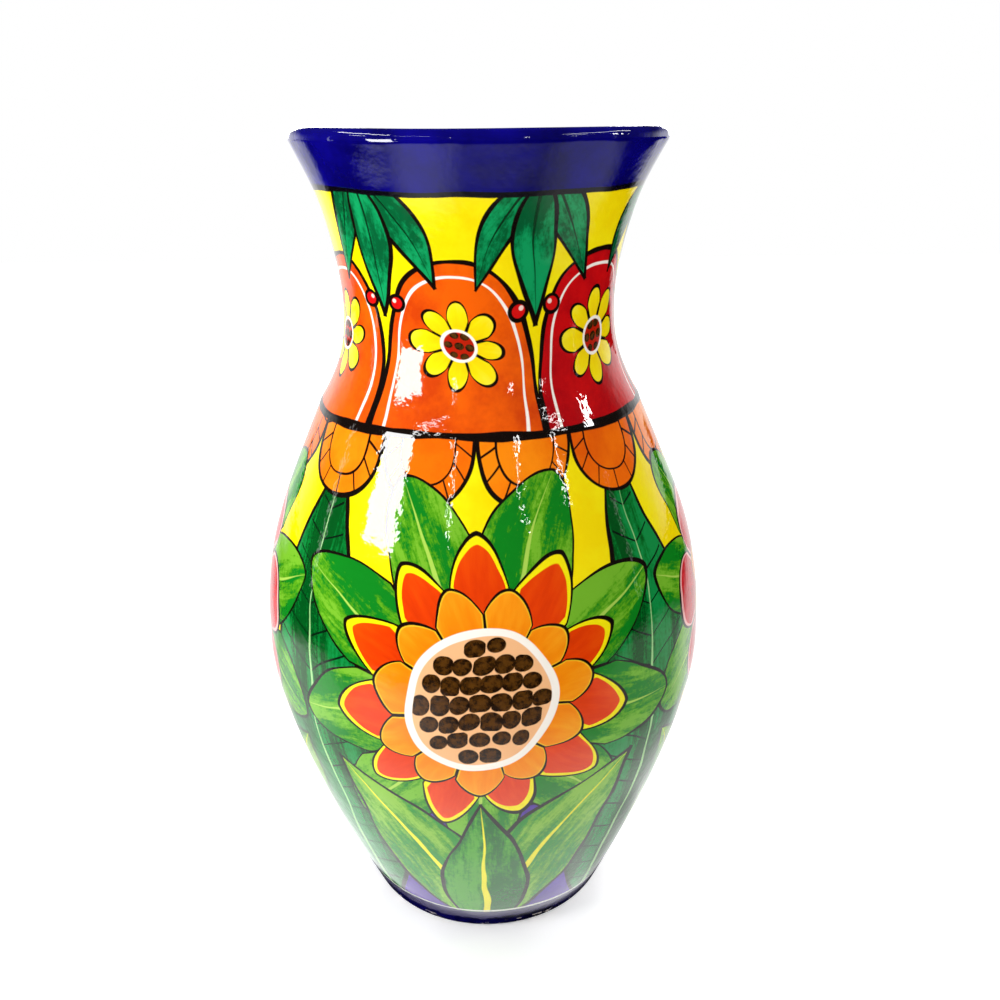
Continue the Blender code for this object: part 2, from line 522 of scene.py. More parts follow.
def stroke(distance, width, press):
    # a brush line of that width along distance 0, wider where the hand pressed
    return within(press * (width / 2) - abs(distance))


def inked(colour, spot, distance, width):
    # the black brush outline along distance 0
    return paintOver(stroke(distance, width, spot.press), colour, tone(hand["line"]))


def length(across, upward):
    return (across * across + upward * upward) ** 0.5


def joined(x, y, z=0.0):
    return x.node("ShaderNodeCombineXYZ", {}, {0: x, 1: y, 2: z})


def speckle(vector, scale, detail=3.0, roughness=0.6, output="Fac"):
    values = {"Vector": vector, "Scale": scale, "Detail": detail, "Roughness": roughness}
    return vector.node("ShaderNodeTexNoise", {}, values, output)


def blended(value, places, tones):
    return value.node("ShaderNodeValToRGB", {"stops": list(zip(places, tones))}, {0: value})


hand = {
    "swaySize": 15.0,  # wobbles of the brush hand per metre
    "sway": 15.0,  # their reach, in millimetres
    "calm": 0.3,  # share of it along bands and long level lines
    "pressSize": 34.0,
    "press": 2.0,
    "sponge": 520.0,  # grain of the dabbed-on greens, per metre
    "cloudSize": 45.0,  # clouds in the flat colours, per metre
    "bandMottle": 0.3,  # how soft they are in the bands
    "seedStep": 3.7,  # sets each leaf's dabs apart from the next one's
    "line": "#120A07",
}
millimetres = 1000  # paint is laid out in millimetres, the clay in metres


def onVase(start):
    # where a point lies, in millimetres, with the wobble of a hand-held brush
    place = start.node("ShaderNodeTexCoord", {}, {}, "Object")
    wobble = speckle(place, hand["swaySize"], detail=2.0, roughness=0.45, output="Color")
    swayRound, swayUpward, _ = wobble.parts()
    x, y, z = place.parts()
    radius = length(x, y) * millimetres
    angle = x.maths("ARCTAN2", -y) + (swayRound - 0.5) * hand["sway"] / radius
    height = z * millimetres + (swayUpward - 0.5) * hand["sway"]
    level = z * millimetres + (swayUpward - 0.5) * (hand["sway"] * hand["calm"])
    pressed = speckle(place, hand["pressSize"], detail=2.0, roughness=0.5)
    press = (pressed - 0.5) * hand["press"] + 1.0
    grain = speckle(place, hand["sponge"], detail=2.0, roughness=0.75)
    cloud = speckle(place, hand["cloudSize"], detail=4.0, roughness=0.62)
    return SimpleNamespace(place=place, angle=angle, height=height, level=level, radius=radius,
                           press=press, grain=grain, cloud=cloud)


def fold(spot, count, turn, radius=None):
    # repeats a motif round the pot: distance round from the motif's middle, and its number
    step = math.tau / count
    turned = (spot.angle - math.radians(turn)) / step
    number = turned.maths("ROUND")
    across = (turned - number) * step * (radius or spot.radius)
    return across, number.maths("FLOORED_MODULO", count)


def every(number, period, first, second):
    # the second colour on one motif in every few
    chosen = number.maths("FLOORED_MODULO", period).maths("COMPARE", 1.0, 0.5)
    return paintOver(chosen, tone(first), tone(second))


def mottled(spot, light, dark, hard=0.25):
    # hand-brushed flat colour, slightly cloudy
    return blended(spot.cloud, (0.5 - hard / 2, 0.5 + hard / 2), (light, dark))


dryBrush = {
    "stripeAcross": 0.075,  # how fast the broad stripes change across a leaf, and along it
    "stripeAlong": 1.6,
    "bristleAcross": 0.55,  # and the marks of the bristles
    "bristleAlong": 8.0,
    "bristles": 0.45,  # how much these and the sponge's grain break up the stripes
    "grain": 0.25,
    "coats": (0.40, 0.49, 0.57),
}


def dabbed(spot, side, along, seed, tones):
    # dry-brushed stripes along a leaf: streaky dark green over lighter coats
    look = dryBrush
    at = joined(side * look["stripeAcross"], along * look["stripeAlong"], seed)
    stripe = speckle(at, 1.0, detail=2.0, roughness=0.5)
    at = joined(side * look["bristleAcross"], along * look["bristleAlong"], seed)
    bristles = speckle(at, 1.0, detail=3.0, roughness=0.7)
    dabs = stripe + (bristles - 0.5) * look["bristles"] + (spot.grain - 0.5) * look["grain"]
    return blended(dabs, look["coats"], tones)


def paintLeaf(colour, spot, across, look, number):
    # a pointed leaf between two places, with dabbed stripes, a rib, veins and a black outline
    (baseX, baseY), (tipX, tipY) = look["from"], look["to"]
    reach = math.hypot(tipX - baseX, tipY - baseY)
    ux, uy = (tipX - baseX) / reach, (tipY - baseY) / reach
    fromX = across - baseX
    fromY = spot.height - baseY
    along = (fromX * ux + fromY * uy) / reach
    inRange = along.maths("MULTIPLY", 1.0, clamp=True)
    bend = look.get("bend", 0.0)
    side = fromX * uy - fromY * ux + inRange * (1 - inRange) * (4 * bend)
    half = (inRange ** look["fullness"] * math.pi).maths("SINE") * look["width"]
    inside = (half - abs(side)).maths("MINIMUM", along * reach)
    inside = inside.maths("MINIMUM", (1 - along) * reach)
    mask = within(inside)
    seed = number * hand["seedStep"] + look["width"]
    colour = paintOver(mask, colour, dabbed(spot, side, along, seed, look["tones"]))
    if "veinGap" in look:
        rise = (along * reach - abs(side) * look["veinLean"]) / look["veinGap"]
        offVein = (rise - rise.maths("ROUND")) * look["veinGap"]
        vein = stroke(offVein, look["vein"], spot.press) * within(inside - look["veinMargin"])
        colour = paintOver(vein, colour, tone(look["veinTone"]))
    rib = within((1 - along) * spot.press * look["rib"] - abs(side)) * mask
    colour = paintOver(rib, colour, tone(look["ribTone"]))
    return inked(colour, spot, inside, look["outline"])


petalBrush = {
    "unevenStep": 2.4,  # the petals' lengths go up and down in steps of this angle
    "streakAcross": 0.16,  # how fast the streaks change across a petal, and along it
    "streakAlong": 0.03,
    "streakSize": 1.6,
    "streaks": 0.5,  # shares of the streaks and of the change from base to tip
    "fade": 0.5,
    "seedStep": 2.9,
    "coats": (0.30, 0.62, 0.85),
    "borderLean": 0.85,  # below 1 the border is wider at the tip
    "gapLine": 0.9,  # lines between petals, against the outline
}


def paintRing(colour, spot, reach, turn, ring):
    # one ring of petals or leaves round a middle
    brush = petalBrush
    petal = turn * (ring["petals"] / math.tau) + ring["offset"]
    nearest = petal.maths("ROUND")
    number = nearest.maths("FLOORED_MODULO", ring["petals"])
    lean = petal - nearest
    side = abs(lean) * 2
    sideways = lean * reach * (math.tau / ring["petals"])
    uneven = (number * brush["unevenStep"]).maths("SINE") * ring["uneven"]
    edge = ring["tip"] + uneven - (ring["tip"] - ring["notch"]) * side ** ring["point"]
    inside = edge - reach
    between = (1 - side) * reach * (math.pi / ring["petals"])
    mask = within(inside)
    if ring.get("leafy"):
        seed = number * hand["seedStep"]
        fill = dabbed(spot, sideways, reach * (1 / ring["tip"]), seed, ring["tones"])
    else:
        seed = number * brush["seedStep"]
        at = joined(sideways * brush["streakAcross"], reach * brush["streakAlong"], seed)
        streaks = speckle(at, brush["streakSize"])
        shade = streaks * brush["streaks"] + reach * (brush["fade"] / ring["tip"])
        fill = blended(shade, brush["coats"], ring["tones"])
    colour = paintOver(mask, colour, fill)
    if "rib" in ring:
        ribHalf = (ring["tip"] - reach) * (ring["rib"] / ring["tip"]) * spot.press
        rib = within(ribHalf - abs(sideways)) * mask
        colour = paintOver(rib, colour, tone(ring["ribTone"]))
    if "border" in ring:
        depth = (inside * brush["borderLean"]).maths("MINIMUM", between)
        border = within(spot.press * ring["border"] - depth)
        colour = paintOver(border * mask, colour, tone(ring["borderTone"]))
    colour = inked(colour, spot, inside, ring["outline"])
    gap = stroke(between, ring["outline"] * brush["gapLine"], spot.press) * mask
    return paintOver(gap, colour, tone(hand["line"]))


seedBrush = {
    "shift": 0.5,  # every other row is moved on by half a step
    "rowWave": 3.1,  # and each by a little of its own
    "rowStray": 0.12,
    "margin": 0.62,  # how far inside the head's edge a dab keeps, against its size
    "hard": 0.001,  # a dab is there or it isn't
    "small": 0.88,  # the smallest dabs, and how much larger the others grow
    "growth": 0.24,
    "narrow": 0.88,  # below 1 they are wider than high
    "press": 0.6,
    "swirlSize": 450.0,  # paint pooling inside a dab, per metre
    "swirl": 1.2,
    "dome": 0.25,  # paler towards the middle
    "middle": 0.42,
    "coats": (0.36, 0.72),
    "tones": ("#1C0D04", "#56340F"),
    "ringTone": "#FBF3E8",
}


def paintSeeds(colour, spot, fromX, fromY, head):
    # rows of round brush dabs inside a blossom's head
    look = seedBrush
    dot = head["dot"]
    row = (fromY / head["rowGap"]).maths("ROUND")
    column = fromX / head["dotGap"] + row.maths("FLOORED_MODULO", 2.0) * look["shift"]
    column = column + (row * look["rowWave"]).maths("SINE") * look["rowStray"]
    number = column.maths("ROUND")
    cell = joined(number, row)
    chance = cell.node("ShaderNodeTexWhiteNoise", {"noise_dimensions": "2D"}, {"Vector": cell}, "Color")
    chanceX, chanceY, chanceSize = chance.parts()
    dotX = (column - number) * head["dotGap"] + (chanceX - 0.5) * head["stray"]
    dotY = fromY - row * head["rowGap"] + (chanceY - 0.5) * head["stray"]
    middleAway = length(fromX - dotX, fromY - dotY)
    kept = within(head["size"] - dot * look["margin"] - middleAway, look["hard"])
    kept = kept * within(head["size"] - length(fromX, fromY))
    inside = dot * look["small"] + chanceSize * (dot * look["growth"]) - length(dotX * look["narrow"], dotY)
    inside = inside + (spot.press - 1) * look["press"]
    swirl = speckle(spot.place, look["swirlSize"])
    shade = inside * (look["dome"] / dot) + (swirl - 0.5) * look["swirl"] + look["middle"]
    brown = blended(shade, look["coats"], look["tones"])
    return paintOver(within(inside) * kept, colour, brown)


def paintBlossom(colour, spot, look):
    # round blossoms: rings of petals, then a head with a pale ring and dabbed seeds
    across, _ = fold(spot, look["count"], look["turn"])
    fromY = spot.height - look["middle"]
    reach = length(across, fromY)
    turn = across.maths("ARCTAN2", fromY)
    for ring in look["rings"]:
        colour = paintRing(colour, spot, reach, turn, ring)
    head = look["head"]
    disc = head["size"] - reach
    colour = paintOver(within(disc + head["ring"]), colour, tone(seedBrush["ringTone"]))
    colour = paintOver(within(disc), colour, tone(head["ground"]))
    return paintSeeds(colour, spot, across, fromY, head)


scallopBrush = {
    "grain": 0.12,  # the sponge's grain in the clouds of deeper colour
    "cloudy": (0.40, 0.66),  # where these begin, and where they are full
    "leastSpread": 0.0001,
}


def paintScallops(colour, spot, look):
    # a row of half rounds hanging from, or standing on, a level
    across, number = fold(spot, look["count"], look["turn"], look["radius"])
    rise = (spot.height - look["level"]) * look["way"]
    squareness = look["squareness"]
    spread = (abs(across) / look["half"]) ** squareness + (abs(rise) / look["depth"]) ** squareness
    spread = spread.maths("MAXIMUM", scallopBrush["leastSpread"])
    edge = (1 / spread ** (1 / squareness) - 1) * length(across, rise)
    inside = edge.maths("MINIMUM", rise + look["overlap"])
    mask = within(inside)
    fill = every(number, look["period"], *look["tones"])
    deep = every(number, look["period"], *look["deep"])
    grainy = spot.cloud + (spot.grain - 0.5) * scallopBrush["grain"]
    cloudy = blended(grainy, scallopBrush["cloudy"], ("#000000", "#FFFFFF"))
    colour = paintOver(mask, colour, paintOver(cloudy, fill, deep))
    if "ribs" in look:
        turned = across.maths("ARCTAN2", rise + look["ribDrop"]) / look["ribs"]
        offRib = (turned - turned.maths("ROUND")) * look["ribs"] * length(across, rise + look["ribDrop"])
        rib = stroke(offRib, look["rib"], spot.press) * within(look["inset"] - edge) * mask
        colour = paintOver(rib, colour, tone(look["ribTone"]))
    line = stroke(edge - look["inset"], look["insetLine"], spot.press) * mask
    colour = paintOver(line, colour, tone(look["insetTone"]))
    return inked(colour, spot, inside, look["outline"])


def paintBerry(colour, spot, across, look):
    fromX = across - look["at"][0]
    fromY = spot.height - look["at"][1]
    inside = look["size"] - length(fromX, fromY)
    colour = paintOver(within(inside), colour, tone(look["tone"]))
    gleam = look["gleam"] - length(fromX + look["gleamShift"], fromY - look["gleamShift"])
    colour = paintOver(within(gleam), colour, tone(look["gleamTone"]))
    return inked(colour, spot, inside, look["outline"])


def paintBand(colour, spot, look):
    # a painted band above or below a level, with a line along its edge
    inside = (spot.level - look["level"]) * look["way"]
    line = stroke(inside + look["lineShift"], look["line"], spot.press)
    colour = paintOver(line, colour, tone(look["lineTone"]))
    return paintOver(within(inside), colour, mottled(spot, *look["tones"], hand["bandMottle"]))


print("brushes ready")


# Designs: leaves and blossoms in flat bright colours

groundTones = ("#FDEB10", "#FADC04")
groundBand = {"level": 95, "way": -1, "line": 2.0, "lineShift": 0.8, "lineTone": "#120A07",
              "tones": ("#5A34A8", "#43208A")}

tallLeaf = {
    "count": 4, "turn": 45, "from": (0, 8), "to": (0, 244), "width": 33, "fullness": 0.75,
    "rib": 1.3, "ribTone": "#9ED08A", "outline": 1.8, "tones": ("#128A42", "#06742C", "#024F18"),
    "veinGap": 13, "veinLean": 0.55, "vein": 0.8, "veinMargin": 2, "veinTone": "#06170C",
}
sideLeaf = {
    "from": (3, 6), "to": (66, 112), "width": 22, "fullness": 0.85, "bend": 9,
    "rib": 2.0, "ribTone": "#F6EA12", "outline": 1.8, "tones": ("#86BC34", "#5AA018", "#128A20"),
}
footLeaf = {
    "from": (0, 0), "to": (0, 98), "width": 21, "fullness": 0.8,
    "rib": 2.0, "ribTone": "#F6EA12", "outline": 1.8, "tones": ("#4FA428", "#2F8E1A", "#0A6A22"),
}
leafRing = {
    "petals": 9, "offset": 0.5, "tip": 88, "notch": 56, "point": 1.5, "uneven": 3.0, "leafy": True,
    "rib": 2.0, "ribTone": "#A9CF52", "outline": 1.7, "tones": ("#74B42C", "#4E9A14", "#0E7E1C"),
}
sunBlossom = {
    "count": 2, "turn": 0, "middle": 150,
    "rings": [
        leafRing,
        {"petals": 11, "offset": 0.0, "tip": 63, "notch": 43, "point": 1.5, "uneven": 2.2, "border": 3.0,
         "outline": 1.7, "tones": ("#C92A04", "#E23E05", "#EE5208"), "borderTone": "#F8E80E"},
        {"petals": 11, "offset": 0.5, "tip": 45, "notch": 35, "point": 1.7, "uneven": 1.2, "border": 1.0,
         "outline": 1.3, "tones": ("#E86A06", "#F58A0C", "#FBA51E"), "borderTone": "#FBC62A"},
    ],
    "head": {"size": 27, "ring": 3.2, "ground": "#F3B985", "rowGap": 7.5, "dotGap": 7.9,
             "dot": 3.7, "stray": 0.9},
}
redBlossom = {
    "count": 2, "turn": 90, "middle": 158,
    "rings": [
        {**leafRing, "petals": 8, "tip": 78, "notch": 50},
        {"petals": 7, "offset": 0.5, "tip": 54, "notch": 39, "point": 3.0, "uneven": 1.6, "border": 2.4,
         "outline": 1.8, "tones": ("#9C0410", "#C40C1A", "#DE2A35"), "borderTone": "#F7B7B2"},
        {"petals": 7, "offset": 0.0, "tip": 32, "notch": 21, "point": 2.0, "uneven": 1.0, "border": 1.0,
         "outline": 1.3, "tones": ("#E4540A", "#F07A12", "#F8A020"), "borderTone": "#FBE23A"},
    ],
    "head": {"size": 14, "ring": 2.2, "ground": "#F6D21A", "rowGap": 6.2, "dotGap": 6.2,
             "dot": 2.6, "stray": 0.6},
}
daisy = {
    "count": 6, "turn": -8, "middle": 281,
    "rings": [
        {"petals": 8, "offset": 0.0, "tip": 18, "notch": 10, "point": 2.2, "uneven": 1.0,
         "outline": 1.3, "tones": ("#F4C80A", "#FBE20E", "#FDEB3A")},
    ],
    "head": {"size": 5.6, "ring": 1.2, "ground": "#B8200A", "rowGap": 4.0, "dotGap": 4.0,
             "dot": 1.4, "stray": 0.4},
}
shoulderScallops = {
    "level": 248.5, "way": -1, "count": 12, "turn": 15, "radius": 78,
    "half": 20, "depth": 27, "squareness": 2.2,
    "overlap": 5, "inset": 8, "insetLine": 1.0, "insetTone": "#120A07", "outline": 1.9, "period": 2,
    "tones": ("#FB8A0E", "#F57008"), "deep": ("#F27206", "#E85C06"),
    "ribs": 0.34, "ribDrop": 3, "rib": 0.8, "ribTone": "#120A07",
}
neckScallops = {
    "level": 248.5, "way": 1, "count": 6, "turn": -8, "radius": 63,
    "half": 32.5, "depth": 66, "squareness": 2.6,
    "overlap": 5, "inset": 6, "insetLine": 1.3, "insetTone": "#FBF3E8", "outline": 2.2, "period": 3,
    "tones": ("#F0600A", "#CC0E12"), "deep": ("#D0420A", "#A60610"),
}
dropLeaf = {
    "count": 6, "turn": 22, "from": (0, 343), "to": (0, 290), "width": 8.5, "fullness": 0.7,
    "rib": 0.7, "ribTone": "#063A1C", "outline": 1.6, "tones": ("#129A5A", "#0A8048", "#065A30"),
}
dropSideLeaf = {**dropLeaf, "from": (2, 345), "to": (23, 304), "width": 7.5, "bend": 3}
berry = {"at": (7, 296), "size": 3.4, "tone": "#D41414", "outline": 1.2,
         "gleam": 0.952, "gleamShift": 1.02, "gleamTone": "#FBD9CC"}
rimBand = {"level": 339.2, "way": 1, "line": 2.2, "lineShift": 0.8, "lineTone": "#0B0810",
           "tones": ("#0A0578", "#050250")}
# painted reflection: the foot band's navy is painted a greyed violet, standing in for the pale floor
# mirrored in its gloss
footBandPaintedReflection = {"level": 14.5, "way": -1, "line": 1.3, "lineShift": 0.9, "lineTone": "#E4E6DA",
            "tones": ("#5A5478", "#454068")}
# painted shade along the foot band's bottom, where the edge turns under and mirrors the dark floor beneath,
# with rubbed chips over it
footShadeAndChips = {
    "level": 7.5,  # painted shade: the band's uneven, darker lowest part
    "uneven": 11.0,
    "soft": 0.8,
    "tilt": 2.0,  # the painted shade is thicker on one side
    "tones": ("#080550", "#03022A"),
    "chipLevel": 4.5,  # rubbed flecks where the vase is set down
    "chipSoft": 1.0,
    "chipSize": 190.0,
    "chips": 0.60,
    "chipHard": 20,
    "chipTone": "#D9CFC6",
}
ridgeLine = {"level": 248.5, "line": 3.3}


def paintRidge(colour, spot):
    return inked(colour, spot, spot.level - ridgeLine["level"], ridgeLine["line"])


def paintFootShadeAndChips(colour, spot):
    # painted shade: a darker navy coat with an uneven top along the bottom edge, then the rubbed chips
    shadeDepth = footShadeAndChips["level"] + (spot.cloud - 0.5) * footShadeAndChips["uneven"] - spot.level
    shadeDepth = shadeDepth - spot.angle.maths("SINE") * footShadeAndChips["tilt"]
    colour = paintOver(within(shadeDepth, footShadeAndChips["soft"]), colour, mottled(spot, *footShadeAndChips["tones"]))
    fleck = speckle(spot.place, footShadeAndChips["chipSize"], detail=3.0, roughness=0.7)
    chip = within((fleck - footShadeAndChips["chips"]) * footShadeAndChips["chipHard"])
    chip = chip * within(footShadeAndChips["chipLevel"] - spot.level, footShadeAndChips["chipSoft"])
    return paintOver(chip, colour, tone(footShadeAndChips["chipTone"]))


def bellyColour(spot):
    colour = paintBand(mottled(spot, *groundTones), spot, groundBand)
    across, number = fold(spot, tallLeaf["count"], tallLeaf["turn"])
    colour = paintLeaf(colour, spot, across, tallLeaf, number)
    colour = paintScallops(colour, spot, shoulderScallops)
    for blossom in (redBlossom, sunBlossom):
        colour = paintBlossom(colour, spot, blossom)
    across, number = fold(spot, tallLeaf["count"], 0)
    colour = paintLeaf(colour, spot, abs(across), sideLeaf, number)
    colour = paintLeaf(colour, spot, across, footLeaf, number)
    # the foot band with its painted reflection, then its painted shade and chips
    colour = paintFootShadeAndChips(paintBand(colour, spot, footBandPaintedReflection), spot)
    return paintRidge(colour, spot)


def neckColour(spot):
    colour = paintScallops(mottled(spot, *groundTones), spot, neckScallops)
    colour = paintBlossom(colour, spot, daisy)
    across, number = fold(spot, dropLeaf["count"], dropLeaf["turn"])
    colour = paintLeaf(colour, spot, abs(across), dropSideLeaf, number)
    colour = paintBerry(colour, spot, abs(across), berry)
    colour = paintLeaf(colour, spot, across, dropLeaf, number)
    return paintRidge(paintBand(colour, spot, rimBand), spot)


def rimColour(spot):
    return mottled(spot, *rimBand["tones"], hand["bandMottle"])


lacquer = {
    "gloss": 0.03,  # roughness where it lies smooth
    "smear": 0.06,  # more in the clouds of the colour, from here on
    "smearFrom": 0.35,
    "wornFoot": 0.12,  # and where the foot band is rubbed
    "wornSoft": 2.0,
    "ior": 1.52,
    "shine": 0.70,  # lacquer over gloss paint mirrors a little more than one coat
    "ripples": 80.0,  # per metre
    "rippleDepth": 0.00024,
    "calmRim": 0.5,  # the blue band lies smoother
    "calmSoft": 3.0,
    "peel": 430.0,
    "peelDepth": 0.000070,
}


def newMaterial(name):
    material = bpy.data.materials.new(name)
    material.use_nodes = True
    material.node_tree.nodes.clear()
    return material, Wire(material.node_tree)


def lacquered(name, paint):
    # hand-brushed paint under thick gloss lacquer
    material, start = newMaterial(name)
    spot = onVase(start)
    ripple = speckle(spot.place, lacquer["ripples"], detail=2.0, roughness=0.5)
    peel = speckle(spot.place, lacquer["peel"], detail=1.0, roughness=0.5)
    calm = within(spot.level - rimBand["level"], lacquer["calmSoft"]) * lacquer["calmRim"]
    relief = ripple * (1 - calm) * lacquer["rippleDepth"] + peel * lacquer["peelDepth"]
    bump = start.node("ShaderNodeBump", {}, {"Strength": 1.0, "Distance": 1.0, "Height": relief})
    cloudy = (spot.cloud - lacquer["smearFrom"]).maths("MAXIMUM", 0.0)
    worn = within(footBandPaintedReflection["level"] - spot.height, lacquer["wornSoft"])
    rough = cloudy * lacquer["smear"] + lacquer["gloss"] + worn * lacquer["wornFoot"]
    values = {"Base Color": paint(spot), "Roughness": rough, "IOR": lacquer["ior"],
              "Specular IOR Level": lacquer["shine"], "Normal": bump}
    shader = start.node("ShaderNodeBsdfPrincipled", {}, values)
    start.node("ShaderNodeOutputMaterial", {}, {"Surface": shader})
    return material


clay = {
    "tones": ("#8A4A2C", "#B0683F", "#C98458"),
    "firing": (0.35, 0.50, 0.66),  # where each tone stands between dark and pale clouds
    "grit": 900.0,
    "gritShare": 0.3,
    "gritDepth": 0.00018,
    "gritStrength": 0.6,
    "roughness": 0.78,
    "roughSpread": 0.2,
    "ior": 1.45,
    "collar": 338,  # the rim's colour is brushed this far down inside
}


def bareClay(name, collar=False):
    material, start = newMaterial(name)
    spot = onVase(start)
    grit = speckle(spot.place, clay["grit"], detail=2.0, roughness=0.7)
    fired = spot.cloud * (1 - clay["gritShare"]) + grit * clay["gritShare"]
    colour = blended(fired, clay["firing"], clay["tones"])
    smoothest = clay["roughness"] - clay["roughSpread"] / 2
    rough = spot.cloud * clay["roughSpread"] + smoothest
    if collar:
        mask = within(spot.height - clay["collar"])
        colour = paintOver(mask, colour, rimColour(spot))
        rough = rough + mask * (lacquer["gloss"] - smoothest)
    values = {"Strength": clay["gritStrength"], "Distance": clay["gritDepth"], "Height": grit}
    bump = start.node("ShaderNodeBump", {}, values)
    values = {"Base Color": colour, "Roughness": rough, "IOR": clay["ior"], "Normal": bump}
    shader = start.node("ShaderNodeBsdfPrincipled", {}, values)
    start.node("ShaderNodeOutputMaterial", {}, {"Surface": shader})
    return material


bareClayFinish = bareClay("bare_clay")
neckInsideFinish = bareClay("neck_inside", True)
bellyFinish = lacquered("belly_paint", bellyColour)
neckFinish = lacquered("neck_paint", neckColour)
rimFinish = lacquered("rim_paint", rimColour)
print("paints mixed")


# The pieces, each in the place of its clay solid

wallSlots = {"outside": 0, "rolled": 0, "topSeam": 1, "inside": 1, "lowSeam": 1, "flat": 1}


def standIn(piece, nodeName):
    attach(piece, "root")
    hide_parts(nodeName)
    print("placed", piece.name)


lowerOutline = wallOutline(floorLevel, waistLevel, bellyOuter, bellyInner)
upperOutline = wallOutline(waistLevel, ridgeLevel, bellyOuter, bellyInner)
neckOutline = wallOutline(ridgeLevel, rimLevel, neckWall, neckInner)
bellyFinishes = [bellyFinish, bareClayFinish]
walls = [
    ("painted_lower_belly", lowerOutline, bellyFinishes, True, "lower_belly", "belly_paint"),
    ("painted_upper_belly", upperOutline, bellyFinishes, True, "upper_belly", "belly_paint"),
    ("painted_neck", neckOutline, [neckFinish, neckInsideFinish], True, "neck", "neck_paint"),
    ("painted_rim", rimOutline(rimRoll), [rimFinish, bareClayFinish], True, "rim_coil", "rim_paint"),
    ("clay_base", baseOutline(baseLook), bellyFinishes, False, "base_slab", "bare_clay"),
]
for name, outline, finishes, mapped, nodeName, slot in walls:
    standIn(turnPiece(name, outline, finishes, wallSlots, mapped), nodeName)

reach = seamCoils["reach"]
coils = [
    ("base_seam_coil", floorLevel, floorLevel + seamCoils["baseSize"], baseSwell),
    ("waist_seam_coil", waistLevel - reach, waistLevel + reach, seamSwell),
    ("neck_seam_coil", ridgeLevel - reach, ridgeLevel + reach, seamSwell),
]
coilSlots = {"inside": 0, "pressed": 0}
for nodeName, low, high, swell in coils:
    outline = coilOutline(low, high, seamBack, swell)
    coil = turnPiece("clay_" + nodeName, outline, [bareClayFinish], coilSlots, False)
    standIn(coil, nodeName)


# Camera at the photograph's angle

photoCamera = {
    "sideways": 0.0079,
    "distance": 0.4370,
    "height": 0.3627,
    "pitch": 20.82,
    "roll": -0.52,
    "lens": 36.0,
    "sensor": 36.0,
    "nearest": 0.01,
}


def placeCamera(look):
    data = bpy.data.cameras.new("photo_camera")
    data.lens = look["lens"]
    data.sensor_width = look["sensor"]
    data.sensor_fit = "HORIZONTAL"
    data.clip_start = look["nearest"]
    camera = addObject("photo_camera", data)
    turned = Matrix.Rotation(math.radians(90 - look["pitch"]), 4, "X")
    rolled = Matrix.Rotation(math.radians(look["roll"]), 4, "Z")
    standing = Vector((look["sideways"], -look["distance"], look["height"]))
    camera.matrix_world = Matrix.Translation(standing) @ turned @ rolled
    bpy.context.scene.camera = camera


placeCamera(photoCamera)
print("camera set")


# Floor, world and lamps

studio = {
    "floorSize": 2.4,
    "floorTone": 0.86,
    "whiteNear": 0.30,  # added where the camera sees the floor, so that it reads as plain white
    "whiteFar": 1.0,
    "whiteRise": (0.25, 0.90),
    "paintedLightAndShadow": [  # place, extent and strength: painted light beside the foot, lifting its shadow, and a painted shadow before it
        ((0.066, -0.022), (0.0, 0.070), 0.28),
        ((0.0, -0.066), (0.01, 0.035), -0.07),
    ],
    "nearGloss": 1.45,  # for gloss rays the floor is a painted glow: what the gloss mirrors of it round the foot, fading outwards
    "nearFrom": 0.07,
    "nearReach": 0.45,
    "nearFade": 2.5,
    "contact": (0.0622, 0.0660),  # painted shadow under the foot's edge, out to here
    "contactLean": 0.015,  # and a little further out on one side
    "shade": ((0.080, -0.015), (0.02, 0.05), 0.45),  # and a painted shadow on the right
    "pools": [  # and painted pools of light that it mirrors further out
        ((-0.22, -0.25), (0.05, 0.24), 0.80),
        ((-0.30, 0.00), (0.08, 0.24), 1.05),
        ((0.42, -0.06), (0.12, 0.34), 0.42),
        ((-0.80, 1.00), (0.25, 0.50), 0.90),
        ((-1.35, 1.50), (0.30, 0.60), 0.90),
    ],
    "boardGloss": 1.06,  # and of the white board behind
    "boardFront": (-0.05, 0.15),
    "boardLeft": (-0.30, -0.08),
    "boardRight": (0.25, 0.42),
    "leftSpread": 0.7,
    "rightSpread": 0.5,
    "skyLight": 0.55,
    "frontGloss": 0.02,  # what the gloss mirrors from the camera's side of the room
    "backGloss": 1.2,
    "wallTop": (0.02, 0.34),  # the white wall behind ends here, for a sight line one long
    "wallSide": (0.3, 0.85),
}
lamps = {  # azimuth, elevation, width, height and brightness
    "window_left": (-57, 19, 0.28, 0.31, 15.5),
    "window_shine": (-50.2, 14.5, 0.094, 0.108, 15.5),
    "window_right": (89, 25, 0.10, 0.11, 24.0),
    "gleam_left": (-92, 4, 0.035, 0.55, 1.6),
    "gleam_right": (84, 2, 0.02, 0.45, 1.0),
    "glint_a": (-18, 25, 0.014, 0.22, 18.0),
    "glint_b": (28, 25, 0.020, 0.16, 18.0),
    "glint_c": (55, 22, 0.020, 0.12, 18.0),
    "glint_d": (-38, 38, 0.36, 0.012, 18.0),
    "glint_e": (62, 33, 0.30, 0.014, 18.0),
    "glint_f": (-78, 33, 0.13, 0.03, 18.0),
    "glint_g": (-85, 48, 0.75, 0.05, 15.0),
    "glint_h": (85, 44, 0.95, 0.03, 13.0),
    "top_back": (180, 60, 1.4, 1.0, 2.0),
    "back_left": (-160, 12, 0.35, 0.30, 8.0),
    "back_right": (160, 12, 0.35, 0.30, 8.0),
}
lampDistance = 1.1
lampNearer = {"window_left": 0.75, "window_shine": 0.30}
lightOnly = ("window_left", "top_back")  # these stay out of the gloss
glossOnly = ("window_shine",)  # and this one shows there alone


def rising(value, limits):
    values = {"Value": value, "From Min": limits[0], "From Max": limits[1]}
    return value.node("ShaderNodeMapRange", {"interpolation_type": "SMOOTHSTEP"}, values)


def patch(x, y, look):
    (atX, atY), extent, bright = look
    return (1 - rising(length(x - atX, y - atY), extent)) * bright


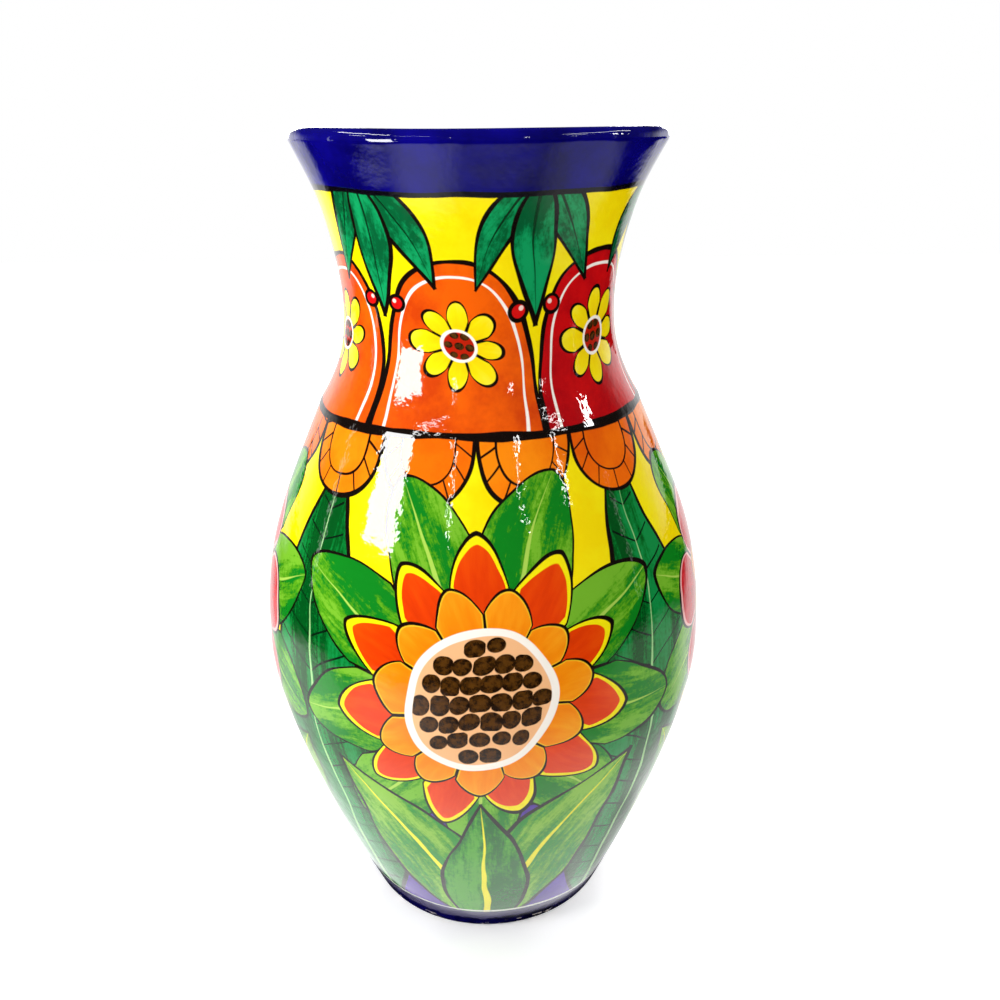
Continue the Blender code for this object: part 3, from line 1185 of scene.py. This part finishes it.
def makeFloor(look):
    size = look["floorSize"]
    mesh = bpy.data.meshes.new("floor")
    corners = [(-size, -size, 0), (size, -size, 0), (size, size, 0), (-size, size, 0)]
    mesh.from_pydata(corners, [], [(0, 1, 2, 3)])
    material, start = newMaterial("floor_white")
    seen = start.node("ShaderNodeLightPath", {}, {}, "Is Camera Ray")
    gloss = start.node("ShaderNodeLightPath", {}, {}, "Is Glossy Ray")
    x, y, _ = start.node("ShaderNodeTexCoord", {}, {}, "Object").parts()
    # gloss rays see only a painted glow: bright round the foot with a painted contact shadow and a painted
    # shadow on the right, painted pools of light and the white board
    away = length(x, y)
    near = ((look["nearFrom"] - away) / look["nearReach"] + 1).maths("MULTIPLY", 1.0, clamp=True)
    clear = rising(x * look["contactLean"] + away, look["contact"])
    near = near ** look["nearFade"] * clear * look["nearGloss"]
    near = near * (1 - patch(x, y, look["shade"]))
    board = rising(y, look["boardFront"]) * rising(x + y * look["leftSpread"], look["boardLeft"])
    board = board * (1 - rising(x - y * look["rightSpread"], look["boardRight"])) * look["boardGloss"]
    mirror = near.maths("MAXIMUM", board)
    for pool in look["pools"]:
        mirror = mirror.maths("MAXIMUM", patch(x, y, pool))
    mirrored = start.node("ShaderNodeEmission", {}, {"Strength": mirror})
    tint = (look["floorTone"], look["floorTone"], look["floorTone"], 1.0)
    matt = start.node("ShaderNodeBsdfDiffuse", {}, {"Color": tint})
    added = rising(away, look["whiteRise"]) * (look["whiteFar"] - look["whiteNear"]) + look["whiteNear"]
    for fill in look["paintedLightAndShadow"]:
        added = added + patch(x, y, fill)
    white = start.node("ShaderNodeEmission", {}, {"Strength": seen * added})
    lit = start.node("ShaderNodeAddShader", {}, {0: matt, 1: white})
    surface = start.node("ShaderNodeMixShader", {}, {0: gloss, 1: lit, 2: mirrored})
    start.node("ShaderNodeOutputMaterial", {}, {"Surface": surface})
    mesh.materials.append(material)
    floor = addObject("floor", mesh)


def lightWorld(look):
    world = bpy.data.worlds.new("white_room")
    world.use_nodes = True
    world.node_tree.nodes.clear()
    bpy.context.scene.world = world
    start = Wire(world.node_tree)
    x, y, z = start.node("ShaderNodeTexCoord", {}, {}, "Generated").parts()
    seen = start.node("ShaderNodeLightPath", {}, {}, "Is Camera Ray")
    gloss = start.node("ShaderNodeLightPath", {}, {}, "Is Glossy Ray")
    behind = rising(y, look["wallSide"])
    low = 1 - rising(z, look["wallTop"])
    mirrored = behind * low * (look["backGloss"] - look["frontGloss"]) + look["frontGloss"]
    level = seen + (1 - seen) * (gloss * mirrored + (1 - gloss) * look["skyLight"])
    sky = start.node("ShaderNodeBackground", {}, {"Color": (1.0, 1.0, 1.0, 1.0), "Strength": level})
    start.node("ShaderNodeOutputWorld", {}, {"Surface": sky})


def hangLamp(name, azimuth, elevation, wide, high, bright):
    data = bpy.data.lights.new(name, "AREA")
    data.shape = "RECTANGLE"
    data.size = wide
    data.size_y = high
    data.energy = bright * math.pi * wide * high
    lamp = addObject(name, data)
    turn = math.radians(azimuth)
    tilt = math.radians(elevation)
    level = math.cos(tilt)
    aim = Vector((math.sin(turn) * level, -math.cos(turn) * level, math.sin(tilt)))
    lamp.location = Vector((0, 0, ridgeLevel)) + aim * lampNearer.get(name, lampDistance)
    lamp.rotation_euler = aim.to_track_quat("Z", "Y").to_euler()
    lamp.visible_camera = False
    lamp.visible_diffuse = name not in glossOnly
    lamp.visible_glossy = name not in lightOnly


makeFloor(studio)
lightWorld(studio)
for name, row in lamps.items():
    hangLamp(name, *row)
print("studio lit")
